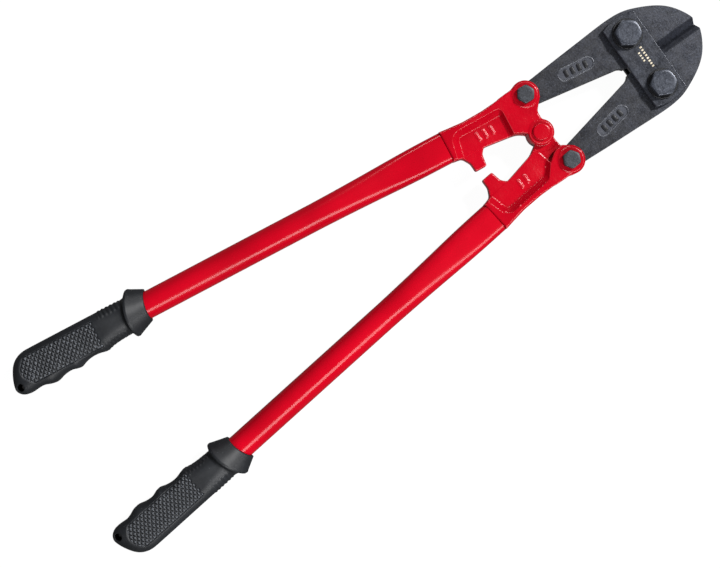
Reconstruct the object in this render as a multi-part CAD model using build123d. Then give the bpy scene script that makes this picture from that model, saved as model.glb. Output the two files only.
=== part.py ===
from build123d import *
import math
import os

# Centre-cut bolt cutters, 600 mm long, lying flat.
# The mechanism frame has its origin at the centre pivot on the mid-plane, +X
# toward the jaws, +Y toward the left handle and +Z along the pivots.
# Handle parts are drawn in a handle frame whose X runs along the tube, and are
# then swung outward by REST_SPLAY. Right-hand parts are mirror images.

os.makedirs("parts", exist_ok=True)

# Placement of the mechanism frame in the part frame.
SHIFT_X = 152.781
SHIFT_Y = -2.08
LIFT_Z = 20.65

# Pivots.
REST_SPLAY = 7.5
JAW_PIVOT = (98.0, 23.4)
TAIL_PIVOT = (6.5, 30.7)

# Blades.
BLADE_HALF = 6.0
EDGE_GAP = 0.05
BEVEL_WIDTH = 5.5
TAIL_EYE_R = 9.75
JAW_SHANK_R = 6.0
JAW_BORE_R = 6.05
TAIL_SHANK_R = 4.0
TAIL_BORE_R = 4.05

# Clamp plates.
PLATE_LENGTH_X = 29.0
PLATE_END_R = 38.4
PLATE_BOTTOM = 6.05
PLATE_TOP = 11.55
PLATE_HOLE_R = 6.25

# Jaw bolts, washers and nuts.
WASHER_R = 12.0
WASHER_T = 1.5
JAW_HEX_AF = 19.0
JAW_HEAD_H = 6.6
SPRING_T = 1.6
JAW_NUT_H = 6.5
HEX_TURN = 54.7

# Castings.
EAR_HALF = 12.2
RIM_HALF = 10.0
WEB_HALF = 6.5
SLOT_HALF = 6.15
TONGUE_HALF = 6.0
TAIL_EAR_R = 11.2
CENTER_EAR_R = 10.2
TAIL_SLOT_R = 10.7
CENTER_SLOT_R = 14.1
TAIL_BOSS_TOP = 13.0
CENTER_BOSS_TOP = 12.8
TONGUE_HOLE_R = 7.5
SEAM_X = -70.0
TUBE_AXIS_Y = 24.1

# Tail bolts.
TAIL_HEX_AF = 13.0
TAIL_HEAD_H = 5.3
TAIL_NUT_H = 5.6

# Centre rivet.
RIVET_SHANK_R = 4.0
RIVET_HEAD_R = 6.7
RIVET_HEAD_H = 2.6

# Tubes.
TUBE_R = 10.65
TUBE_WALL = 2.0
TUBE_END_X = -430.0
RIGHT_TUBE_SWING = 0.75

# Grips.
LEFT_MOUTH_X = -331.7
RIGHT_MOUTH_X = -336.5
GRIP_HOLE = (116.0, -11.4)
GRIP_HOLE_R = 3.0
COLLAR_SLANT = 11.5


def rounded_outline(points):
    """A face from corners (x, y, radius), each corner cut by a tangent arc."""
    edges = []
    joints = []
    count = len(points)
    for index in range(count):
        before = points[index - 1]
        here = points[index]
        after = points[(index + 1) % count]
        ax = before[0] - here[0]
        ay = before[1] - here[1]
        bx = after[0] - here[0]
        by = after[1] - here[1]
        la = math.hypot(ax, ay)
        lb = math.hypot(bx, by)
        ax, ay, bx, by = ax / la, ay / la, bx / lb, by / lb
        radius = here[2]
        if radius <= 0:
            joints.append(((here[0], here[1]), None, (here[0], here[1])))
            continue
        half = math.acos(max(-1.0, min(1.0, ax * bx + ay * by))) / 2
        reach = radius / math.tan(half)
        mx, my = ax + bx, ay + by
        lm = math.hypot(mx, my)
        depth = radius / math.sin(half)
        cx = here[0] + mx / lm * depth
        cy = here[1] + my / lm * depth
        start = (here[0] + ax * reach, here[1] + ay * reach)
        stop = (here[0] + bx * reach, here[1] + by * reach)
        middle = (cx - mx / lm * radius, cy - my / lm * radius)
        joints.append((start, middle, stop))
    for index in range(count):
        start, middle, stop = joints[index]
        following = joints[(index + 1) % count][0]
        if middle is not None:
            edges.append(ThreePointArc(start, middle, stop))
        if math.hypot(following[0] - stop[0], following[1] - stop[1]) > 1e-6:
            edges.append(Line(stop, following))
    return Face(Wire(edges))


def slab(face, low, high):
    """A face on the XY plane raised into a plate from low to high."""
    return Pos(0, 0, low) * extrude(face, amount=high - low, dir=(0, 0, 1))


def rod(x, y, radius, low, high):
    """A vertical cylinder."""
    return Pos(x, y, (low + high) / 2) * Cylinder(radius, high - low)


def from_handle(shape):
    """Swing a part drawn in the handle frame to its rest position."""
    return Rot(0, 0, -REST_SPLAY) * shape


def to_handle(point):
    """Coordinates in the handle frame of a point in the mechanism frame."""
    swing = math.radians(REST_SPLAY)
    x = point[0] * math.cos(swing) - point[1] * math.sin(swing)
    y = point[0] * math.sin(swing) + point[1] * math.cos(swing)
    return x, y


TAIL_X, TAIL_Y = to_handle(TAIL_PIVOT)


def superellipse_wire(x, y, half_y, half_z, power):
    """A closed smooth section across the handle at x."""
    points = []
    steps = 24
    for index in range(steps):
        angle = 2 * math.pi * (index + 0.5) / steps
        c = math.cos(angle)
        s = math.sin(angle)
        py = math.copysign(abs(c) ** (2 / power), c) * half_y
        pz = math.copysign(abs(s) ** (2 / power), s) * half_z
        points.append((x, y + py, pz))
    return Wire([Spline(*points, periodic=True)])


def section_loft(sections, ruled=False):
    """A solid through superellipse sections (x, y, half_y, half_z, power)."""
    return Solid.make_loft([superellipse_wire(*entry) for entry in sections], ruled)


def chamfered_hex(across_flats, low, high, turn, top_edge=True):
    """A hexagonal prism with its outer corners taken off at one end."""
    height = high - low
    face = RegularPolygon(across_flats / 2, 6, major_radius=False)
    prism = Pos(0, 0, low) * extrude(face, amount=height, dir=(0, 0, 1))
    corner = across_flats / 2 / math.cos(math.pi / 6)
    drop = (corner - across_flats / 2 * 0.97) * 0.55
    inner = across_flats / 2 * 0.97
    if top_edge:
        outline = [(0, low), (corner, low), (corner, high - drop), (inner, high), (0, high)]
    else:
        outline = [(0, low), (inner, low), (corner, low + drop), (corner, high), (0, high)]
    wire = Polyline(*[(r, 0, z) for r, z in outline], close=True)
    turned = revolve(Face(Wire(wire.edges())), Axis.Z)
    first_flat = 30.0
    return Rot(0, 0, turn - first_flat) * (prism & turned)


# ---------------------------------------------------------------- jaws


def blade_body():
    """The left blade outline raised to its full thickness."""
    ax, ay = TAIL_PIVOT
    outer = Spline(
        (19.0, 38.3),
        (45.0, 39.7),
        (72.0, 40.9),
        (86.0, 41.5),
        (97.3, 41.3),
        (107.3, 39.7),
        (117.2, 35.9),
        (127.2, 30.7),
        (137.1, 23.0),
        (143.0, 15.2),
        (146.8, 7.8),
        (147.9, 4.7),
    )
    corner = ThreePointArc((75.2, 6.15), (79.2, 4.75), (81.2, 2.75))
    edges = [
        Line((ax - 1.0, 37.9), (19.0, 38.3)),
        outer,
        Line((147.9, 4.7), (146.9, EDGE_GAP)),
        Line((146.9, EDGE_GAP), (97.0, EDGE_GAP)),
        Line((97.0, EDGE_GAP), (81.2, 2.75)),
        corner,
        Line((75.2, 6.15), (62.4, 8.9)),
        Line((62.4, 8.9), (12.7, 19.4)),
        Line((12.7, 19.4), (ax - 2.0, 21.13)),
        Line((ax - 2.0, 21.13), (ax - 1.0, 37.9)),
    ]
    body = slab(Face(Wire(edges)), -BLADE_HALF, BLADE_HALF)
    return body + rod(ax, ay, TAIL_EYE_R, -BLADE_HALF, BLADE_HALF)


def bevel_cut(side):
    """The wedge removed above (side +1) or below (side -1) the cutting edge."""
    low = 0.25 * side
    high = (BLADE_HALF + 1.0) * side
    slope = (BEVEL_WIDTH - EDGE_GAP) / (BLADE_HALF - 0.25)
    reach = EDGE_GAP + slope * abs(high - low)
    wire = Polyline(
        (0, EDGE_GAP - 3.0, low),
        (0, EDGE_GAP, low),
        (0, reach, high),
        (0, EDGE_GAP - 3.0, high),
        close=True,
    )
    face = Face(Wire(wire.edges()))
    return Pos(104.0, 0, 0) * extrude(face, amount=50.0, dir=(1, 0, 0))


def mark_panel():
    """A shallow obround panel with four plain bars standing in it."""
    panel = slab(SlotOverall(29.0, 9.0).face(), 0, 1.0)
    for index in range(4):
        bar = Pos(-8.25 + 5.5 * index, 0, 0.5) * Box(2.2, 5.0, 1.0)
        panel = panel - bar
    return panel


def blade():
    body = blade_body()
    body = body - bevel_cut(1) - bevel_cut(-1)
    px, py = JAW_PIVOT
    ax, ay = TAIL_PIVOT
    body = body - rod(px, py, JAW_BORE_R, -10, 10)
    body = body - rod(ax, ay, TAIL_BORE_R, -10, 10)
    spot = Pos(51.0, 24.6, BLADE_HALF - 0.6) * Rot(0, 0, -9.0)
    body = body - spot * mark_panel()
    return body


# ---------------------------------------------------------------- clamp


def clamp_plate(low, high):
    px, py = JAW_PIVOT
    strip = Pos(px, 0) * Rectangle(PLATE_LENGTH_X, 90)
    outline = strip & (Pos(px, 0) * Circle(PLATE_END_R))
    plate = slab(outline.face(), low, high)
    plate = chamfer(plate.edges().group_by(Axis.Z)[-1], 0.5)
    for y in (py, -py):
        plate = plate - rod(px, y, PLATE_HOLE_R, low - 1, high + 1)
    return plate


def jaw_bolt():
    px, py = JAW_PIVOT
    seat = PLATE_TOP + WASHER_T
    head = chamfered_hex(JAW_HEX_AF, seat, seat + JAW_HEAD_H, HEX_TURN)
    shank = Pos(0, 0, (seat - LIFT_Z) / 2) * Cylinder(JAW_SHANK_R, seat + LIFT_Z)
    shank = chamfer(shank.edges().group_by(Axis.Z)[0], 0.8)
    return Pos(px, py, 0) * (head + shank)


def jaw_washer():
    px, py = JAW_PIVOT
    ring = rod(0, 0, WASHER_R, PLATE_TOP, PLATE_TOP + WASHER_T)
    ring = chamfer(ring.edges().group_by(Axis.Z)[-1], 0.3)
    return Pos(px, py, 0) * (ring - rod(0, 0, PLATE_HOLE_R, 0, 20))


def spring_washer():
    px, py = JAW_PIVOT
    ring = rod(0, 0, 10.2, -PLATE_TOP - SPRING_T, -PLATE_TOP)
    ring = ring - rod(0, 0, PLATE_HOLE_R, -20, 0)
    split = Pos(8.5, 0, -PLATE_TOP - SPRING_T / 2) * Rot(25, 0, 0) * Box(8, 0.8, 6)
    return Pos(px, py, 0) * (ring - split)


def jaw_nut():
    px, py = JAW_PIVOT
    top = -PLATE_TOP - SPRING_T
    body = chamfered_hex(JAW_HEX_AF, top - JAW_NUT_H, top, HEX_TURN, top_edge=False)
    return Pos(px, py, 0) * (body - rod(0, 0, JAW_SHANK_R + 0.02, -40, 0))


# ---------------------------------------------------------------- castings


def rim_layer():
    """The deep outer flange of a handle head, rounded along its edges."""
    outline = rounded_outline([
        (SEAM_X, 11.3, 0),
        (-63.0, 10.6, 12),
        (-44.0, 10.4, 20),
        (-12.0, 7.0, 0),
        (-9.0, 34.0, 0),
        (-10.0, 38.9, 0),
        (-22.0, 37.1, 20),
        (-33.0, 35.8, 30),
        (-50.0, 35.2, 40),
        (-62.0, 36.1, 20),
        (SEAM_X, 36.9, 0),
    ])
    body = slab(outline, -RIM_HALF, RIM_HALF)
    long_edges = body.edges().filter_by(Axis.Z, reverse=True)
    keep = [e for e in long_edges if SEAM_X + 0.5 < e.center().X < -13.0]
    return fillet(keep, 3.2)


def pocket():
    """The sunk panel over the web, sloping up to the rim."""
    floor = rounded_outline([
        (-61.3, -14.0, 0),
        (-61.3, 9.0, 0),
        (-59.4, 25.0, 4),
        (-8.0, 26.0, 0),
        (-8.0, -14.0, 0),
    ])
    brink = rounded_outline([
        (-67.5, -14.0, 0),
        (-67.5, 11.0, 0),
        (-66.0, 31.0, 8),
        (-8.0, 32.0, 0),
        (-8.0, -14.0, 0),
    ])
    rise = RIM_HALF + 0.2 - WEB_HALF
    wires = [
        floor.outer_wire().moved(Location((0, 0, WEB_HALF))),
        brink.outer_wire().moved(Location((0, 0, WEB_HALF + rise))),
    ]
    return Solid.make_loft(wires, True)


def web_layer():
    """The web with the stop lug that hangs toward the other handle."""
    outline = rounded_outline([
        (-64.0, 30.0, 0),
        (-66.0, 11.0, 0),
        (-63.0, 10.4, 6),
        (-59.0, 4.0, 7),
        (-58.1, -3.5, 1.0),
        (-48.6, -3.2, 1.0),
        (-47.6, 6.0, 5),
        (-44.0, 10.7, 4.5),
        (-20.5, 8.9, 8),
        (-8.0, 3.2, 0),
        (-6.0, 30.0, 0),
    ])
    return slab(outline, -WEB_HALF, WEB_HALF)


def soft_slab(face, half, size):
    """A plate centred on the mid-plane with its outline edges chamfered."""
    body = slab(face, -half, half)
    rims = [e for e in body.edges() if abs(abs(e.center().Z) - half) < 0.01]
    return chamfer(rims, size)


def soft_rod(x, y, radius, half, size):
    """An upright disc centred on the mid-plane with chamfered edges."""
    return Pos(x, y, 0) * soft_slab(Circle(radius).face(), half, size)


def fork_cheeks():
    outline = rounded_outline([
        (-19.0, 9.0, 1),
        (-12.6, 5.6, 6),
        (-8.5, 3.0, 0),
        (5.6, 3.0, 0),
        (4.9, 15.5, 5),
        (12.0, 25.0, 0),
        (4.0, 41.6, 0),
        (-10.0, 39.1, 20),
        (-19.0, 37.6, 2),
    ])
    body = soft_slab(outline, EAR_HALF, 0.6)
    body = body + soft_rod(TAIL_X, TAIL_Y, TAIL_EAR_R, EAR_HALF, 0.8)
    return body + soft_rod(0, 0, CENTER_EAR_R, EAR_HALF, 0.6)


def tongue_cheeks():
    outline = rounded_outline([
        (-20.5, 31.5, 2),
        (-11.0, 22.6, 14),
        (-2.0, 17.6, 10),
        (4.9, 17.9, 2),
        (12.0, 25.0, 0),
        (4.0, 41.6, 0),
        (-10.0, 39.1, 20),
        (-20.5, 37.4, 2),
    ])
    body = soft_slab(outline, EAR_HALF, 0.6)
    return body + soft_rod(TAIL_X, TAIL_Y, TAIL_EAR_R, EAR_HALF, 0.8)


def tang():
    """The spigot that fills the mouth of the handle tube."""
    sections = [
        (SEAM_X + 2.0, TUBE_AXIS_Y, 9.8, 6.8, 3.0),
        (-98.0, TUBE_AXIS_Y, 9.2, 6.7, 2.8),
        (-112.0, TUBE_AXIS_Y, 8.2, 6.2, 2.5),
    ]
    return section_loft(sections, True)


def raised_marks(x, y, count):
    """Plain bars standing on the web floor in place of any lettering."""
    bars = []
    for index in range(count):
        spot = Pos(x + 6.0 * index, y, WEB_HALF)
        bars.append(spot * Box(2.4, 7.5, 1.0))
    return bars


def handle_head_base():
    body = rim_layer()
    sunk = pocket()
    body = body - sunk - mirror(sunk, Plane.XY)
    return body + web_layer() + tang()


def tail_slot():
    """Room between the tail ears for the blade arm through its whole swing."""
    ahead = rounded_outline([
        (TAIL_X - 2.0, TAIL_Y - 10.6, 0),
        (TAIL_X + 30.0, TAIL_Y - 10.6, 0),
        (TAIL_X + 30.0, TAIL_Y + 30.0, 0),
        (TAIL_X - 11.4, TAIL_Y + 30.0, 0),
        (TAIL_X - 10.9, TAIL_Y, 0),
    ])
    opening = slab(ahead, -SLOT_HALF, SLOT_HALF)
    return opening + rod(TAIL_X, TAIL_Y, TAIL_SLOT_R, -SLOT_HALF, SLOT_HALF)


def tail_boss():
    return rod(TAIL_X, TAIL_Y, 10.3, -TAIL_BOSS_TOP, TAIL_BOSS_TOP)


def fork_casting():
    body = handle_head_base() + fork_cheeks() + tail_boss()
    body = body + rod(0, 0, 9.3, -CENTER_BOSS_TOP, CENTER_BOSS_TOP)
    between = rounded_outline([
        (-8.9, -20.0, 0),
        (30.0, -20.0, 0),
        (30.0, 40.0, 0),
        (TAIL_X - 6.0, 40.0, 0),
        (TAIL_X - 10.5, TAIL_Y, 0),
        (-11.3, 0.0, 0),
    ])
    body = body - slab(between, -SLOT_HALF, SLOT_HALF) - tail_slot()
    body = body - rod(0, 0, CENTER_SLOT_R, -SLOT_HALF, SLOT_HALF)
    body = body - rod(0, 0, RIVET_SHANK_R + 0.02, -20, 20)
    body = body - rod(TAIL_X, TAIL_Y, TAIL_SHANK_R + 0.1, -20, 20)
    for bar in raised_marks(-46.5, 19.8, 3):
        body = body + bar
    return from_handle(body)


def tongue_casting():
    """Drawn on the left-hand side and mirrored at the end."""
    body = handle_head_base() + tongue_cheeks() + tail_boss()
    waist = rounded_outline([
        (-20.0, 9.1, 0),
        (-12.6, 5.6, 6),
        (-9.0, 3.4, 0),
        (6.0, 3.4, 0),
        (5.0, 13.0, 5),
        (5.0, 20.0, 0),
        (-8.0, 24.0, 0),
        (-20.0, 30.0, 0),
    ])
    body = body + slab(waist, -TONGUE_HALF, TONGUE_HALF)
    clear = Circle(14.2).face()
    body = body - slab(clear, TONGUE_HALF, 20) - slab(clear, -20, -TONGUE_HALF)
    body = body + rod(0, 0, CENTER_EAR_R, -TONGUE_HALF, TONGUE_HALF)
    body = body - tail_slot()
    body = body - rod(0, 0, TONGUE_HOLE_R, -20, 20)
    body = body - rod(TAIL_X, TAIL_Y, TAIL_SHANK_R + 0.1, -20, 20)
    for bar in raised_marks(-42.5, 20.5, 2):
        body = body + bar
    return mirror(from_handle(body), Plane.XZ)


# ---------------------------------------------------------------- pins


def center_rivet():
    body = rod(0, 0, RIVET_SHANK_R, -CENTER_BOSS_TOP, CENTER_BOSS_TOP)
    for side in (1, -1):
        low = CENTER_BOSS_TOP * side
        high = (CENTER_BOSS_TOP + RIVET_HEAD_H) * side
        head = rod(0, 0, RIVET_HEAD_R, min(low, high), max(low, high))
        rim = [e for e in head.edges() if abs(e.center().Z - high) < 0.01]
        body = body + fillet(rim, 1.1)
    return body


def tail_bolt():
    ax, ay = TAIL_PIVOT
    top = TAIL_BOSS_TOP
    head = chamfered_hex(TAIL_HEX_AF, top, top + TAIL_HEAD_H, HEX_TURN + 30)
    low = -TAIL_BOSS_TOP - TAIL_NUT_H - 1.0
    shank = rod(0, 0, TAIL_SHANK_R, low, top)
    shank = chamfer(shank.edges().group_by(Axis.Z)[0], 0.6)
    return Pos(ax, ay, 0) * (head + shank)


def tail_nut():
    ax, ay = TAIL_PIVOT
    top = -TAIL_BOSS_TOP
    body = chamfered_hex(TAIL_HEX_AF, top - TAIL_NUT_H, top, HEX_TURN + 30, top_edge=False)
    return Pos(ax, ay, 0) * (body - rod(0, 0, TAIL_SHANK_R + 0.02, -40, 0))


# ---------------------------------------------------------------- tube and grip


def swung(shape, swing):
    """Turn what is fixed to a casting about the middle of its seam."""
    there = Pos(SEAM_X, TUBE_AXIS_Y, 0)
    back = Pos(-SEAM_X, -TUBE_AXIS_Y, 0)
    return from_handle(there * Rot(0, 0, swing) * back * shape)


def tube(swing):
    outside = [
        (SEAM_X - 0.1, TUBE_AXIS_Y, 12.7, 9.4, 3.8),
        (-90.0, TUBE_AXIS_Y, 12.75, 9.4, 3.5),
        (-106.0, TUBE_AXIS_Y, 12.5, 9.5, 3.1),
        (-122.0, TUBE_AXIS_Y, 12.0, 9.8, 2.7),
        (-142.0, TUBE_AXIS_Y, 11.4, 10.2, 2.35),
        (-162.0, TUBE_AXIS_Y, 10.95, 10.5, 2.15),
        (-182.0, TUBE_AXIS_Y, TUBE_R, TUBE_R, 2.0),
        (-215.0, TUBE_AXIS_Y, TUBE_R, TUBE_R, 2.0),
        (TUBE_END_X, TUBE_AXIS_Y, TUBE_R, TUBE_R, 2.0),
    ]
    inside = []
    for x, y, half_y, half_z, power in outside:
        inside.append((x, y, half_y - TUBE_WALL, half_z - TUBE_WALL, power))
    return swung(section_loft(outside, True) - section_loft(inside, True), swing)


def grip_body(mouth_x):
    """The hand part of the grip, drawn by its distance from the mouth."""
    profile = [
        (10.0, 13.3, -13.3, 13.3, 2.1),
        (22.0, 13.5, -13.8, 13.8, 2.2),
        (30.0, 13.4, -14.3, 14.2, 2.3),
        (37.0, 13.4, -15.2, 14.5, 2.4),
        (45.0, 13.4, -16.6, 14.8, 2.5),
        (55.0, 13.4, -15.5, 14.9, 2.5),
        (69.0, 13.4, -18.3, 15.0, 2.5),
        (78.0, 13.4, -17.1, 15.0, 2.5),
        (91.0, 13.4, -19.6, 14.8, 2.5),
        (104.0, 13.0, -17.6, 13.8, 2.5),
        (111.0, 10.6, -18.4, 12.2, 2.5),
        (116.0, 5.0, -17.6, 10.6, 2.5),
        (119.5, -2.0, -15.6, 8.8, 2.4),
        (121.8, -7.0, -13.6, 6.4, 2.2),
    ]
    sections = []
    for s, outer, inner, half_z, power in profile:
        middle = (outer + inner) / 2
        half_y = (outer - inner) / 2
        sections.append((mouth_x - s, TUBE_AXIS_Y + middle, half_y, half_z, power))
    return section_loft(sections)


def grip_collar(mouth_x):
    """The slanted flange behind the mouth of the grip."""
    outline = [
        (0, 0),
        (0, 12.4),
        (8.0, 15.0),
        (11.4, 18.2),
        (14.0, 18.2),
        (18.3, 14.0),
        (18.3, 0),
    ]
    wire = Polyline(*[(x, r, 0) for x, r in outline], close=True)
    turned = revolve(Face(Wire(wire.edges())), Axis.X)
    turned = Rot(0, 180, 0) * (Pos(-12.5, 0, 0) * turned)
    return Pos(mouth_x - 12.5, TUBE_AXIS_Y, 0) * Rot(0, 0, -COLLAR_SLANT) * turned


def grip(mouth_x, swing):
    body = grip_body(mouth_x) + grip_collar(mouth_x)
    bore_length = mouth_x + 10.0 - TUBE_END_X
    middle = (mouth_x + 10.0 + TUBE_END_X) / 2
    bore = Cylinder(TUBE_R + 0.04, bore_length)
    body = body - Pos(middle, TUBE_AXIS_Y, 0) * Rot(0, 90, 0) * bore
    hole_s, hole_offset = GRIP_HOLE
    hole = rod(mouth_x - hole_s, TUBE_AXIS_Y + hole_offset, GRIP_HOLE_R, -20, 20)
    return swung(body - hole, swing)


# ---------------------------------------------------------------- output


def save(name, shape):
    placed = Pos(SHIFT_X, SHIFT_Y, LIFT_Z) * shape
    solids = placed.solids()
    if len(solids) == 1:
        placed = solids[0]
    export_step(placed, "parts/" + name + ".step")
    box = placed.bounding_box()
    sizes = (box.min.X, box.min.Y, box.min.Z, box.max.X, box.max.Y, box.max.Z)
    print(name, len(solids), round(placed.volume), *[round(v, 2) for v in sizes])


def right(shape):
    return mirror(shape, Plane.XZ)


def save_pair(name, shape):
    save("left_" + name, shape)
    save("right_" + name, right(shape))


save("top_clamp_plate", clamp_plate(PLATE_BOTTOM, PLATE_TOP))
save("bottom_clamp_plate", mirror(clamp_plate(PLATE_BOTTOM, PLATE_TOP), Plane.XY))
save_pair("jaw_bolt", jaw_bolt())
save_pair("jaw_washer", jaw_washer())
save_pair("spring_washer", spring_washer())
save_pair("jaw_nut", jaw_nut())
save_pair("blade", blade())
save("fork_casting", fork_casting())
save("tongue_casting", tongue_casting())
save("center_rivet", center_rivet())
save_pair("tail_bolt", tail_bolt())
save_pair("tail_nut", tail_nut())
save("left_tube", tube(0.0))
save("right_tube", right(tube(RIGHT_TUBE_SWING)))
save("left_grip", grip(LEFT_MOUTH_X, 0.0))
save("right_grip", right(grip(RIGHT_MOUTH_X, RIGHT_TUBE_SWING)))
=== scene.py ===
import math
import bpy
import numpy as np
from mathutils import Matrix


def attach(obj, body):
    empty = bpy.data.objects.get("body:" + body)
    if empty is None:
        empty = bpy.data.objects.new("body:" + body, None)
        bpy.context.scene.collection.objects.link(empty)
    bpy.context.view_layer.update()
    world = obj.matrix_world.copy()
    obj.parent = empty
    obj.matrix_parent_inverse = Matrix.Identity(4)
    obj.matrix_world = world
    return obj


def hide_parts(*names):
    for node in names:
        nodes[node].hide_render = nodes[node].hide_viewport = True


# Bolt cutters lying on a pale table. Lengths in the shape code are millimetres
# in the mechanism frame: origin at the centre pivot on the mid-plane, +X toward
# the jaws, +Y toward the left handle. SHIFT takes that frame to the packed
# model's. Handle parts are drawn for the left side in a handle frame, which is
# then swung outward by REST_SPLAY. Lengths in materials and lights are metres.

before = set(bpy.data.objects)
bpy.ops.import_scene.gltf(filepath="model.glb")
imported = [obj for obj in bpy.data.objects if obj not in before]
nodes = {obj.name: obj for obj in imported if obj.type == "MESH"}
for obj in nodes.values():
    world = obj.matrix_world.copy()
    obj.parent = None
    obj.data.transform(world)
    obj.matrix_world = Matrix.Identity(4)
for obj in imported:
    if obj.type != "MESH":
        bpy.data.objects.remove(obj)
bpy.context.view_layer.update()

SHIFT = (152.781, -2.08, 20.65)
REST_SPLAY = 7.5
TAIL_PIVOT = (6.5, 30.7)
SEAM_X = -70.0
TUBE_AXIS_Y = 24.1
RIM_HALF = 10.0
WEB_HALF = 6.5
EAR_HALF = 12.2
SLOT_HALF = 6.15
TONGUE_HALF = 6.0
EAR_R = 11.2
HUB_R = 10.2
RIVET_HOLE_R = 4.1
TONGUE_HOLE_R = 7.5
TAIL_HOLE_R = 4.2
JAW_PIVOT = (98.0, 23.4)
PLATE_TOP = 11.55
BLADE_HALF = 6.0
MARK_CENTRE = (51.0, 24.6)
MARK_TURN = -9.0
LEFT_MOUTH_X = -331.7
RIGHT_MOUTH_X = -336.5
LEFT_SWING = 0.0
RIGHT_SWING = 0.75
FINE = 0.42
SIDES = (("left", 1, LEFT_MOUTH_X, LEFT_SWING), ("right", -1, RIGHT_MOUTH_X, RIGHT_SWING))

splay = math.radians(REST_SPLAY)
TAIL_X = TAIL_PIVOT[0] * math.cos(splay) - TAIL_PIVOT[1] * math.sin(splay)
TAIL_Y = TAIL_PIVOT[0] * math.sin(splay) + TAIL_PIVOT[1] * math.cos(splay)


# ------------------------------------------------------------ distance fields


def rounded_polygon(corners, steps=7):
    """Points of a polygon whose corners (x, y, radius) are cut by arcs."""
    points = []
    count = len(corners)
    for index in range(count):
        here = np.array(corners[index][:2], float)
        radius = corners[index][2]
        if radius <= 0:
            points.append(here)
            continue
        a = np.array(corners[index - 1][:2], float) - here
        b = np.array(corners[(index + 1) % count][:2], float) - here
        a /= np.linalg.norm(a)
        b /= np.linalg.norm(b)
        half = math.acos(max(-1.0, min(1.0, float(a @ b)))) / 2
        middle = (a + b) / np.linalg.norm(a + b)
        centre = here + middle * radius / math.sin(half)
        start = here + a * radius / math.tan(half) - centre
        stop = here + b * radius / math.tan(half) - centre
        first = math.atan2(start[1], start[0])
        turn = math.atan2(stop[1], stop[0]) - first
        turn = (turn + math.pi) % (2 * math.pi) - math.pi
        for step in range(steps + 1):
            angle = first + turn * step / steps
            points.append(centre + radius * np.array((math.cos(angle), math.sin(angle))))
    return np.array(points)


def smooth_curve(points, rounds=3):
    """A closed polygon with its corners cut away again and again."""
    points = np.array(points, float)
    for _ in range(rounds):
        after = np.roll(points, -1, axis=0)
        pairs = np.stack([points * 0.75 + after * 0.25, points * 0.25 + after * 0.75], 1)
        points = pairs.reshape(-1, 2)
    return points


def polygon_field(points, x, y):
    """Signed distance to a polygon, negative inside."""
    best = None
    inside = None
    for (x0, y0), (x1, y1) in zip(points, np.roll(points, -1, axis=0)):
        ex, ey = x1 - x0, y1 - y0
        length = ex * ex + ey * ey
        if length < 1e-12:
            continue
        t = np.clip(((x - x0) * ex + (y - y0) * ey) / length, 0.0, 1.0)
        d = (x - x0 - t * ex) ** 2 + (y - y0 - t * ey) ** 2
        safe = ey if abs(ey) > 1e-12 else 1e-12
        crossed = ((y0 > y) != (y1 > y)) & (x < ex * (y - y0) / safe + x0)
        best = d if best is None else np.minimum(best, d)
        inside = crossed if inside is None else inside ^ crossed
    return np.sqrt(best) * np.where(inside, -1.0, 1.0)


def disc(x, y, cx, cy, radius):
    return np.hypot(x - cx, y - cy) - radius


def extruded(d, z, half, r):
    """A flat outline field d made a plate of thickness 2 half with edges rounded by r."""
    a = d + r
    b = np.abs(z) - half + r
    return np.minimum(np.maximum(a, b), 0) + np.hypot(np.maximum(a, 0), np.maximum(b, 0)) - r


def join(a, b, k):
    """The union of two fields, with a fillet of about k."""
    h = np.maximum(k - np.abs(a - b), 0) / k
    return np.minimum(a, b) - h * h * k / 4


def common(a, b, k):
    """What two fields share, with the edge rounded by about k."""
    return -join(-a, -b, k)


def cut(a, b, k):
    """Field a with b taken away."""
    return common(a, -b, k)


def step_up(value, low, high):
    """Zero below low, one above high, smooth between."""
    t = np.clip((value - low) / (high - low), 0.0, 1.0)
    return t * t * (3 - 2 * t)


# ------------------------------------------------------------ field to mesh


def surface(field, low, high, step):
    """Vertices and quads on the zero of a field, by surface nets."""
    axes = [np.arange(a, b + step, step) for a, b in zip(low, high)]
    x, y, z = axes[0][:, None, None], axes[1][None, :, None], axes[2][None, None, :]
    f = np.broadcast_to(field(x, y, z), [len(a) for a in axes]).astype(np.float32)
    cells = np.array(f.shape) - 1
    total = int(cells.prod())
    strides = (int(cells[1] * cells[2]), int(cells[2]), 1)
    sums = np.zeros((3, total))
    counts = np.zeros(total)
    quads = []
    for axis in range(3):
        lower = [slice(None)] * 3
        upper = [slice(None)] * 3
        lower[axis] = slice(None, -1)
        upper[axis] = slice(1, None)
        a, b = f[tuple(lower)], f[tuple(upper)]
        found = np.argwhere((a < 0) != (b < 0))
        u, v = (axis + 1) % 3, (axis + 2) % 3
        keep = (found[:, u] > 0) & (found[:, v] > 0)
        keep &= (found[:, u] < cells[u]) & (found[:, v] < cells[v])
        found = found[keep]
        fa = a[tuple(found.T)].astype(float)
        fb = b[tuple(found.T)].astype(float)
        where = found.astype(float)
        where[:, axis] += fa / (fa - fb)
        ring = []
        for du, dv in ((0, 0), (1, 0), (1, 1), (0, 1)):
            cell = found.copy()
            cell[:, u] -= du
            cell[:, v] -= dv
            key = cell @ np.array(strides)
            ring.append(key)
            counts += np.bincount(key, minlength=total)
            for k in range(3):
                sums[k] += np.bincount(key, weights=where[:, k], minlength=total)
        ring = np.stack(ring, 1)
        ring[fa >= 0] = ring[fa >= 0][:, ::-1]
        quads.append(ring)
    used = np.nonzero(counts)[0]
    number = np.full(total, -1)
    number[used] = np.arange(len(used))
    points = (sums[:, used] / counts[used]).T * step + np.array(low)
    faces = number[np.concatenate(quads)]
    return settle(field, points, step), faces


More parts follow.
